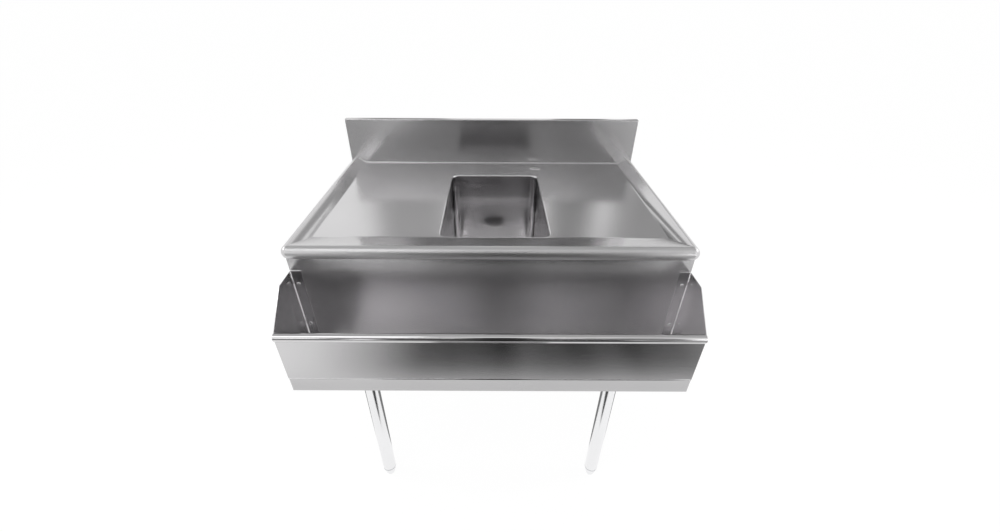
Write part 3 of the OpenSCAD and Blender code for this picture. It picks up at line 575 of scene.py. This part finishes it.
rail_pan = fold_sheet(
    "rail_pan",
    [(rail_y + sheet, band_z), (rail_y, pan_z - pan_gap), (apron_y - pan_gap, pan_z - pan_gap),
     (apron_y - pan_gap, pan_z - pan_flange)],
    -panel_x + sheet, panel_x - sheet, pan_bend, (0.0, -1.0, 0.0))
rail_pan.data.materials.append(pan_steel)
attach(rail_pan, "unit")
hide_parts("rail_pan")

end_top, end_nose, end_flange, end_bend = 0.852, 0.061, 0.025, 0.003
bead_fit = 0.0003
# Width of what stays of the bracket's corner below the pan
end_corner = 0.005
for side, name in ((-1, "rail_end_left"), (1, "rail_end_right")):
    plan = [(side * (panel_x - end_flange), apron_y - sheet, band_z),
            (side * (panel_x - sheet), apron_y - sheet, band_z),
            (side * (panel_x - sheet), rail_y + sheet, band_z)]
    start_point(name, plan[0])
    draw_on(plan)
    bpy.ops.mesh.select_all(action="SELECT")
    pull(0.0, 0.0, end_top - band_z)
    pick("edges", lambda e: len(e.link_faces) == 2)
    bpy.ops.mesh.bevel(offset=end_bend, segments=bend_steps, affect="EDGES")
    nose_y = apron_y - end_nose
    bpy.ops.mesh.select_all(action="SELECT")
    bpy.ops.mesh.bisect(plane_co=(0.0, nose_y, end_top), clear_outer=True,
                        plane_no=(0.0, bead_z + bead_r - end_top, nose_y - bead_y))
    face_towards((0.0, -1.0, 0.0), near=(side * (panel_x - end_flange / 2), apron_y - sheet, end_top - 0.03))
    rail_end = bpy.context.object
    finish_metal(rail_end, wall=sheet)
    deselect_all()
    bpy.ops.mesh.primitive_cube_add(
        size=1.0, location=(side * (panel_x - end_flange / 2 - end_corner), apron_y, (pan_z + band_z) / 2))
    below = bpy.context.object
    below.scale = (end_flange, cut_depth, pan_z - band_z)
    bpy.ops.object.transform_apply()
    cut_out(rail_end, below)
    deselect_all()
    bpy.ops.mesh.primitive_cylinder_add(
        vertices=round_steps, radius=bead_r + bead_fit, depth=cut_depth,
        location=(side * panel_x, bead_y, bead_z), rotation=(0.0, math.pi / 2, 0.0))
    cut_out(rail_end, bpy.context.object)
    finish_metal(rail_end, edge=edge_round)
    rail_end.data.materials.append(pan_steel)
    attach(rail_end, "unit")
    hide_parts(name)


# ---- Rail screws ----
# Polished pan head machine screws with a cross recess, through the brackets and the pan into nuts behind
# the apron.
def turn(name, outline, centre, steps=round_steps):
    """A solid turned round an upright axis from its outline, a list of (radius, height) points that ends on
    the axis or where it began."""
    points = [(centre[0] + r, centre[1], centre[2] + h) for r, h in outline]
    start_point(name, points[0])
    draw_on(points)
    bpy.ops.mesh.select_all(action="SELECT")
    bpy.ops.mesh.spin(steps=steps, angle=2 * math.pi, center=centre, axis=(0.0, 0.0, 1.0))
    face_towards()
    return bpy.context.object


screw_places = [(side * 0.437, z) for side in (-1, 1) for z in (0.817, 0.701)]
screw_places += [(x, 0.641) for x in (-0.3, 0.0, 0.3)]
screw_outline = [(0.0, 0.0028), (0.0018, 0.00275), (0.0032, 0.0023), (0.0042, 0.0015), (0.0047, 0.0005),
                 (0.0046, 0.0), (0.0024, 0.0), (0.0024, -0.0105), (0.0, -0.0105)]
recess_w, recess_l, recess_h = 0.0009, 0.0044, 0.0026
head_h = screw_outline[0][1]
# Each screw stops at an angle of its own.
stop_angle = 0.7
screw = turn("rail_screw", screw_outline, (0.0, 0.0, 0.0), steps=24)
finish_metal(screw)
for width, length in ((recess_w, recess_l), (recess_l, recess_w)):
    deselect_all()
    bpy.ops.mesh.primitive_cube_add(size=1.0, location=(0.0, 0.0, head_h))
    slot = bpy.context.object
    slot.scale = (width, length, recess_h)
    bpy.ops.object.transform_apply()
    cut_out(screw, slot)
finish_metal(screw)
screw.data.transform(Matrix.Rotation(math.pi / 2, 4, "X"))
deselect_all()
for i, (x, z) in enumerate(screw_places):
    copy = screw.copy()
    copy.data = screw.data.copy()
    copy.data.transform(Matrix.Rotation(stop_angle * i, 4, "Y"))
    copy.data.transform(Matrix.Translation((x, apron_y - sheet, z)))
    bpy.context.scene.collection.objects.link(copy)
    copy.select_set(True)
    bpy.context.view_layer.objects.active = copy
bpy.data.objects.remove(screw)
bpy.ops.object.join()
rail_screws = bpy.context.object
rail_screws.name = "rail_screws"
rail_screws.data.materials.append(polished_steel)
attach(rail_screws, "unit")
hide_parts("rail_screws")

# ---- Faucet hole cover ----
# A small crowned disc pressed from polished stainless, drawn down by a stud, a bar washer and a wing nut.
cover_x, cover_y = 0.139, 0.3075
cover_outline = [(0.0, 0.0028), (0.006, 0.0027), (0.0115, 0.0022), (0.0152, 0.0014), (0.0168, 0.0006),
                 (0.017, 0.0), (0.003, 0.0), (0.003, -0.022), (0.0, -0.022)]
cover = turn("faucet_hole_cover", cover_outline, (cover_x, cover_y, deck_z))
finish_metal(cover)
cover.data.materials.append(polished_steel)
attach(cover, "unit")
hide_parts("faucet_hole_cover")

# ---- Legs and feet ----
# Bright drawn stainless tube, held in welded sockets by a set screw. The bullet feet are turned from solid
# bar and screw into plugs pressed into the tube's lower end.
leg_x, leg_front_y, leg_rear_y = 0.342, -0.1875, 0.3125
leg_r, leg_wall, leg_low, leg_high = 0.02065, 0.0015, 0.040, 0.8685
leg_bore = leg_r - leg_wall
leg_outline = [(leg_bore, leg_low), (leg_r - edge_round, leg_low), (leg_r, leg_low + edge_round),
               (leg_r, leg_high), (leg_bore, leg_high), (leg_bore, leg_low)]
foot_outline = [(0.0, 0.0), (0.0092, 0.0), (0.0103, 0.0004), (0.0115, 0.0015), (0.0130, 0.0044),
                (0.0147, 0.0092), (0.0163, 0.0152), (0.0177, 0.0218), (0.0186, 0.0270), (0.019, 0.0300),
                (0.019, 0.0368), (0.0184, 0.0377), (0.008, 0.0377), (0.008, 0.0990), (0.0074, 0.0997),
                (0.0, 0.0997)]
# Drawn tube mirrors the room in thin dark and white lines down its length.
tube_steel = stainless("bright_stainless_tube", "#efeff0", 0.16, 0.4, "Z", wave=0.0003,
                       grain=(60.0, 60.0, 3.0))
for end, y in (("front", leg_front_y), ("rear", leg_rear_y)):
    for side, hand in ((-1, "left"), (1, "right")):
        place = (side * leg_x, y, 0.0)
        leg = turn(f"leg_{end}_{hand}", leg_outline, place)
        finish_metal(leg)
        leg.data.materials.append(tube_steel)
        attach(leg, "unit")
        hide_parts(f"leg_{end}_{hand}")
        foot = turn(f"foot_{end}_{hand}", foot_outline, place)
        finish_metal(foot, smooth=50.0)
        foot.data.materials.append(tube_steel)
        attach(foot, f"levelling_foot_{end}_{hand}")
        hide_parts(f"foot_{end}_{hand}")


# ---- Understructure and drain ----
# Pieces that the finished unit hides from in front keep the frame's own shapes: channels, sockets, panels
# and the drain's rings. They are bare sheet, zinc-plated steel, chromed brass, rubber and fibre.
def plain(name, code, metallic, roughness):
    """A plain finish with faint cloudy wear."""
    material = new_material(name)
    tree = material.node_tree
    place = add_node(tree, "ShaderNodeTexCoord")
    clouds = add_node(tree, "ShaderNodeTexNoise", {"Scale": 60.0, "Detail": 4.0},
                      {"Vector": place.outputs["Object"]})
    low = tuple(c * 0.85 for c in colour(code)[:3]) + (1.0,)
    tone = add_node(tree, "ShaderNodeMix", {"data_type": "RGBA", 6: low, 7: colour(code)},
                    {0: clouds.outputs[0]})
    rough = add_node(tree, "ShaderNodeMapRange", {"To Min": roughness * 0.8, "To Max": roughness * 1.2},
                     {"Value": clouds.outputs[0]})
    grain = add_node(tree, "ShaderNodeBump", {"Strength": 0.1, "Distance": 0.0002},
                     {"Height": clouds.outputs[0]})
    skin = add_node(tree, "ShaderNodeBsdfPrincipled", {"Metallic": metallic},
                    {"Base Color": tone.outputs[2], "Roughness": rough.outputs[0],
                     "Normal": grain.outputs[0]})
    add_node(tree, "ShaderNodeOutputMaterial", (), {"Surface": skin.outputs[0]})
    return material


# Zinc gives a dull pale shine and chrome a clear one. The rubber and the fibre are matt.
finishes = {
    "stainless_satin": upright_steel,
    "stainless_tube": tube_steel,
    "stainless_polished": polished_steel,
    "zinc_plated_steel": plain("zinc_plated_steel", "#a8acb0", 1.0, 0.4),
    "chromed_brass": plain("chromed_brass", "#c9cacc", 1.0, 0.08),
    "black_rubber": plain("black_rubber", "#1c1c1c", 0.0, 0.7),
    "grey_fibre": plain("vulcanised_fibre", "#6a4a3a", 0.0, 0.8),
}
slots = {entry["node"]: entry["material_slot"] for entry in frame["record"]["subparts"]}
for name, node in frame["nodes"].items():
    node.data.materials.clear()
    node.data.materials.append(finishes[slots[name]])
